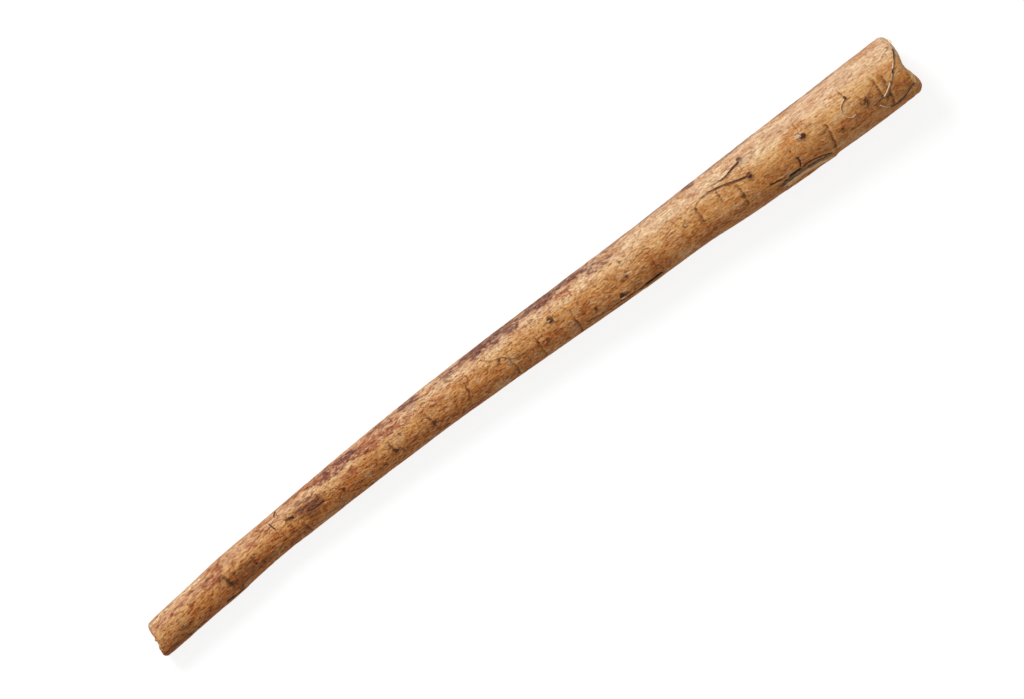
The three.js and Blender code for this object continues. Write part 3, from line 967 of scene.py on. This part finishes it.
# The colours of each dried rootlet, whose node is rootlet_ and this name, from its low x to its
# high x: (x, colour).
ROOTLET_COLOURS = {
    "crown_long": [
        (152.5, BARK), (156.6, BARK), (157.4, BLEACHED), (161.4, BLEACHED), (162, BARK),
        (162.8, STRAW), (164, STRAW), (164.6, DARK_BARK), (165.3, BARK), (165.7, BLEACHED),
        (167.4, STRAW), (168.2, BARK), (170.5, DARK_BARK),
    ],
    "crown_low": [
        (153.8, BLEACHED), (156, STRAW), (157.2, BARK), (161, DARK_BARK), (168.5, BARK),
    ],
    "crown_fine": [(156.5, BARK), (159, DULL)],
    "by_ring_knot": [(149.5, DARK_BARK), (151.5, DARK_BARK)],
    "curled": [(141.4, STRAW), (144.8, BLEACHED), (145.3, BARK)],
    "fork_upper": [(87, BARK), (96, DARK_BARK), (99, TWIG), (101.5, BARK)],
    "fork_lower": [
        (78.5, DULL), (84, TWIG), (89, BARK), (94, TWIG), (98, DARK_BARK), (101.2, BARK),
    ],
    "wavy": [(-16, BARK), (-13, STRAW), (-8, DULL), (-6, BARK), (4.5, DULL)],
    "thin_third": [(-107, BARK), (-104, DARK_BARK)],
    "thin_third_cross": [(-113, DARK_BARK), (-112, BARK)],
    "thin_third_edge": [(-110, DARK_BARK), (-108, BARK)],
}

# A rootlet's skin moves by up to ROOTLET_SHRINKAGE, inwards where a noise with lumps of this size
# is below its level: mostly inwards for the dried ones, and about as much outwards for the full.
ROOTLET_SHRINKAGE = 0.2
ROOTLET_LUMPS = 1.1
DRIED_LEVEL = 0.85
FULL_LEVEL = 0.4
FULL_ROOTLETS = ("thin_third", "thin_third_cross", "thin_third_edge", "crown_long", "crown_low")

# Corners this close together are one, and the grain of the rootlets and fibres is so many to 1 m.
SAME_POINT = 0.005
ROOTLET_GRAIN = 2200.0
FIBRE_GRAIN = 1800.0


def rootlet_material(name, stops):
    """A dried rootlet whose colour changes along its length."""
    shader = Shader(name, 0.6, 0.3)
    place = shader.node("ShaderNodeTexCoord").outputs["Object"]
    length = shader.node("ShaderNodeSeparateXYZ", {"Vector": place}).outputs["X"]
    fine = shader.noise(place, ROOTLET_GRAIN, 3, 0.6)
    colour = stops[0][1]
    for (low, _), (high, next_colour) in zip(stops, stops[1:]):
        share = shader.span(length, low * MM, high * MM)
        colour = shader.mix(share, colour, next_colour)
    colour = shader.mix(shader.span(fine, 0.45, 0.75, 0.0, 0.5), colour, BARK)
    return shader.finish(colour, fine, 0.08)


# ---- Rootlets ----


def finish_rootlets():
    """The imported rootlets, dried thinner and rougher by modifiers, with their materials."""
    roughness = bpy.data.textures.new("rootlet roughness", "CLOUDS")
    roughness.noise_scale = ROOTLET_LUMPS * MM
    roughness.noise_depth = 2
    for name, stops in ROOTLET_COLOURS.items():
        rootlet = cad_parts["rootlet_" + name]
        rootlet.data.materials[0] = rootlet_material("rootlet_" + name, stops)
        weld = rootlet.modifiers.new("weld", "WELD")
        weld.merge_threshold = SAME_POINT * MM
        rounding = rootlet.modifiers.new("rounding", "SUBSURF")
        rounding.levels = rounding.render_levels = 3
        rough = rootlet.modifiers.new("rough", "DISPLACE")
        rough.texture = roughness
        rough.texture_coords = "LOCAL"
        rough.strength = ROOTLET_SHRINKAGE * MM
        rough.mid_level = FULL_LEVEL if name in FULL_ROOTLETS else DRIED_LEVEL


# ---- Torn fibres ----

# Strands of bare fibre: their points [x, y], their radius and their height over the skin.
FIBRES = [
    ([(168.6, 9.8), (169.4, 10.1), (170.2, 9.9), (170.8, 9.2), (171.1, 8.4)], 0.22, 0.15),
    ([(170.9, 8.6), (171.3, 8), (171.2, 7.3)], 0.3, 0.2),
    ([(169.9, 9.3), (170.5, 8.6), (170.7, 7.8)], 0.16, 0.1),
    ([(122.5, 2.2), (123.4, 1.8), (124.4, 1.2)], 0.24, 0.25),
    ([(122.8, 1.1), (123.6, 1.1), (124.6, 0.8)], 0.22, 0.25),
    ([(123.5, 2.3), (124.1, 1.7), (124.8, 1.2)], 0.16, 0.2),
    ([(-45.6, 3.5), (-44.8, 3.1), (-43.9, 2.6)], 0.13, 0.1),
    ([(11.3, 4.1), (12, 3.9), (12.7, 3.9)], 0.15, 0.15),
    ([(37.7, -5.7), (38.6, -5.9), (39.5, -5.8)], 0.16, 0.1),
    ([(-62.2, 7.4), (-61.4, 7.1), (-60.9, 6.5)], 0.13, 0.1),
    ([(-59.8, 6.6), (-58.8, 6.4), (-57.9, 6.5)], 0.13, 0.1),
    ([(-84.4, 10), (-83.8, 9.8), (-83.3, 9.9)], 0.14, 0.1),
]
# Past this x there is no skin below the strands, and they hang down by so much for each mm.
LAST_OVER_SKIN = 170.0
ABOVE = 100
HANG = 0.8
FIBRE_SIDES = 8
FIBRE_STEPS = 12
FIBRE_FLATNESS = 0.7


def bent(points, count):
    """Evenly shared points of a smooth curve through the given ones."""
    points = np.array(points, dtype=float)
    for _ in range(3):
        near = 0.75 * points[:-1] + 0.25 * points[1:]
        far = 0.25 * points[:-1] + 0.75 * points[1:]
        inner = np.stack([near, far], 1).reshape(-1, points.shape[1])
        points = np.concatenate([points[:1], inner[1:-1], points[-1:]])
    along = np.linspace(0, len(points) - 1, count)
    steps = np.arange(len(points))
    return np.stack([np.interp(along, steps, points[:, i]) for i in range(points.shape[1])], -1)


def strand(route, radius, first):
    """Corners and faces of one tapering strand, its corners counted from first."""
    heading = np.gradient(route, axis=0)
    heading /= np.linalg.norm(heading, axis=1, keepdims=True)
    across = np.cross(heading, (0.0, 0.0, 1.0))
    upwards = np.cross(across, heading)
    share = np.linspace(0, 1, len(route))
    thickness = radius * (0.25 + 0.75 * np.sin(math.pi * (0.12 + 0.76 * share)))
    turns = np.arange(FIBRE_SIDES) * 2 * math.pi / FIBRE_SIDES
    ring = np.cos(turns)[None, :, None] * across[:, None]
    ring = ring + FIBRE_FLATNESS * np.sin(turns)[None, :, None] * upwards[:, None]
    corners = (route[:, None] + thickness[:, None, None] * ring).reshape(-1, 3)
    corners = np.concatenate([corners, route[:1], route[-1:]])
    faces = [tuple(first + i for i in face) for face in grid_faces(len(route), FIBRE_SIDES)]
    return corners, faces


def build_fibres(skin_piece, material):
    """The strands, each laid on the finished skin."""
    mesh = skin_piece.data
    tree = BVHTree.FromPolygons([v.co / MM for v in mesh.vertices], [p.vertices for p in mesh.polygons])
    corners, faces = [], []
    for points, radius, lift in FIBRES:
        flat_route = bent(points, FIBRE_STEPS)
        route = []
        for x, y in flat_route:
            over = min(x, LAST_OVER_SKIN)
            hit = tree.ray_cast(Vector((over, y, ABOVE)), Vector((0, 0, -1)))[0]
            route.append((x, y, hit.z + lift - HANG * (x - over)))
        more, their_faces = strand(np.array(route), radius, len(corners))
        corners.extend(more)
        faces.extend(their_faces)
    piece = mesh_object("torn_fibres", corners, faces, material)
    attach(piece, "root")


def fibre_material():
    shader = Shader("torn fibre", 0.6, 0.3)
    place = shader.node("ShaderNodeTexCoord").outputs["Object"]
    fine = shader.noise(place, FIBRE_GRAIN, 3, 0.6)
    colour = shader.mix(shader.span(fine, 0.35, 0.65), BLEACHED, STRAW)
    return shader.finish(colour, fine, 0.06)


# ---- Stage ----

# How white the floor is for the light and for the camera, and how much it glows for the camera.
FLOOR_SIZE = 6000
FLOOR_WHITE = 0.80
FLOOR_SEEN = 0.25
FLOOR_LIFT = 0.85
FLOOR_DROP = 0.02
AMBIENT = 0.34
KEY_PLACE = (-200, 1080, 1050)
KEY_SIZE = 700
KEY_POWER = 18


def add_floor():
    """A white floor that keeps the root's shadow, lifted towards white for the camera."""
    half = FLOOR_SIZE / 2
    corners = [(-half, -half, 0), (half, -half, 0), (half, half, 0), (-half, half, 0)]
    shader = Shader("floor", 0.9, 0.2)
    shader.surface.inputs["Emission Color"].default_value = (1, 1, 1, 1)
    seen = shader.node("ShaderNodeLightPath").outputs["Is Camera Ray"]
    shade = shader.span(seen, 0.0, 1.0, FLOOR_WHITE, FLOOR_SEEN)
    shader.tree.links.new(shade, shader.surface.inputs["Base Color"])
    lift = shader.times(seen, FLOOR_LIFT)
    shader.tree.links.new(lift, shader.surface.inputs["Emission Strength"])
    floor = mesh_object("floor", corners, [(0, 1, 2, 3)], shader.material, smooth=False)
    floor.location.z = -FLOOR_DROP * MM


def add_key_light():
    data = bpy.data.lights.new("key", "AREA")
    data.shape = "DISK"
    data.size = KEY_SIZE * MM
    data.energy = KEY_POWER
    light = bpy.data.objects.new("key", data)
    light.visible_camera = False
    light.location = Vector(KEY_PLACE) * MM
    light.rotation_euler = (-light.location).to_track_quat("-Z", "Y").to_euler()
    scene.collection.objects.link(light)


def add_world():
    world = bpy.data.worlds.new("studio")
    world.use_nodes = True
    nodes, links = world.node_tree.nodes, world.node_tree.links
    background = nodes["Background"]
    background.inputs["Color"].default_value = (1, 1, 1, 1)
    path = nodes.new("ShaderNodeLightPath")
    strength = nodes.new("ShaderNodeMapRange")
    strength.inputs["To Min"].default_value = AMBIENT
    strength.inputs["To Max"].default_value = 1.0
    links.new(path.outputs["Is Camera Ray"], strength.inputs["Value"])
    links.new(strength.outputs["Result"], background.inputs["Strength"])
    scene.world = world


add_floor()
add_key_light()
add_world()
scene.view_settings.view_transform = "Standard"

root_skin = build_skin(skin_material())
build_fibres(root_skin, fibre_material())
finish_rootlets()
